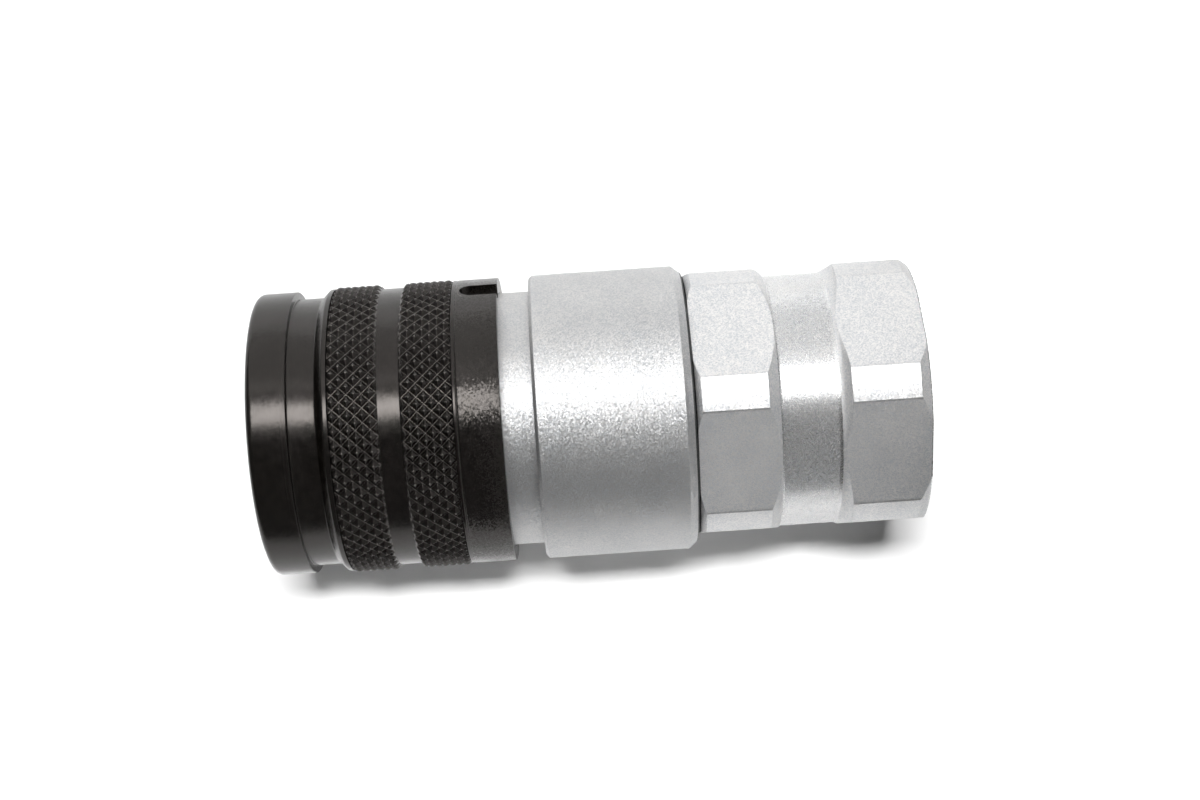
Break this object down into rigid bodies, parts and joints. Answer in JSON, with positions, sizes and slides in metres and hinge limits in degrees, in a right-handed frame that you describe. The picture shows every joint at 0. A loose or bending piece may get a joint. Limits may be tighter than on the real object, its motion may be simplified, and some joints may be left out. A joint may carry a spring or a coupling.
{
  "type": "flat face quick coupler",
  "caption": "Female flat face hydraulic quick coupler with a double hexagon port end and a knurled black release sleeve over a spring-loaded ball lock.",
  "frame": {"origin": "centre of the port end face, on the coupler's axis", "axes": "+Z along the axis from the port end to the mouth; +X through a hexagon corner and one sleeve notch"},
  "size_m": [0.0382, 0.0382, 0.086],
  "materials": {
    "zinc_steel": "zinc plated, satin with a fine grain",
    "black_sleeve": "glossy black plating over turned steel",
    "bright_steel": "fine turned and plated",
    "spring_steel": "drawn wire, satin",
    "ball_steel": "polished",
    "seal_rubber": "matt black rubber",
    "backup_plastic": "off-white plastic"
  },
  "bodies": {
    "socket": {"port_adapter": "zinc_steel", "coupler_body": "zinc_steel", "sleeve_spring": "spring_steel", "nose_snap_ring": "spring_steel", "tube_spring": "spring_steel", "valve_stem": "bright_steel", "stem_seal": "seal_rubber", "spider": "bright_steel", "stem_nut": "zinc_steel", "spider_circlip": "spring_steel", "probe_oring": "seal_rubber", "probe_backup_ring": "backup_plastic", "adapter_oring": "seal_rubber", "lock_ball": "ball_steel", "locking_ball_01": "ball_steel", "locking_ball_02": "ball_steel", "locking_ball_03": "ball_steel", "locking_ball_04": "ball_steel", "locking_ball_05": "ball_steel", "locking_ball_06": "ball_steel", "locking_ball_07": "ball_steel", "locking_ball_08": "ball_steel", "locking_ball_09": "ball_steel", "locking_ball_10": "ball_steel", "locking_ball_11": "ball_steel", "locking_ball_12": "ball_steel"},
    "spring_seat": {"spring_seat_ring": "spring_steel"},
    "sleeve": {"release_sleeve": "black_sleeve"},
    "valve_tube": {"valve_tube": "bright_steel"}
  },
  "joints": [
    {"name": "sleeve_pull", "type": "slide", "parent": "socket", "child": "spring_seat", "axis": [0, 0, -1], "range_m": [0, 0.004], "stiffness_N_per_m": 3000, "springref_m": -0.01, "deforming": ["sleeve_spring"]},
    {"name": "sleeve_turn", "type": "hinge", "parent": "spring_seat", "child": "sleeve", "pos_m": [0, 0, 0.07], "axis": [0, 0, 1], "range_deg": [-180, 180]},
    {"name": "valve_push", "type": "slide", "parent": "socket", "child": "valve_tube", "axis": [0, 0, -1], "range_m": [0, 0.0155], "stiffness_N_per_m": 1500, "springref_m": -0.012, "deforming": ["tube_spring"]}
  ]
}
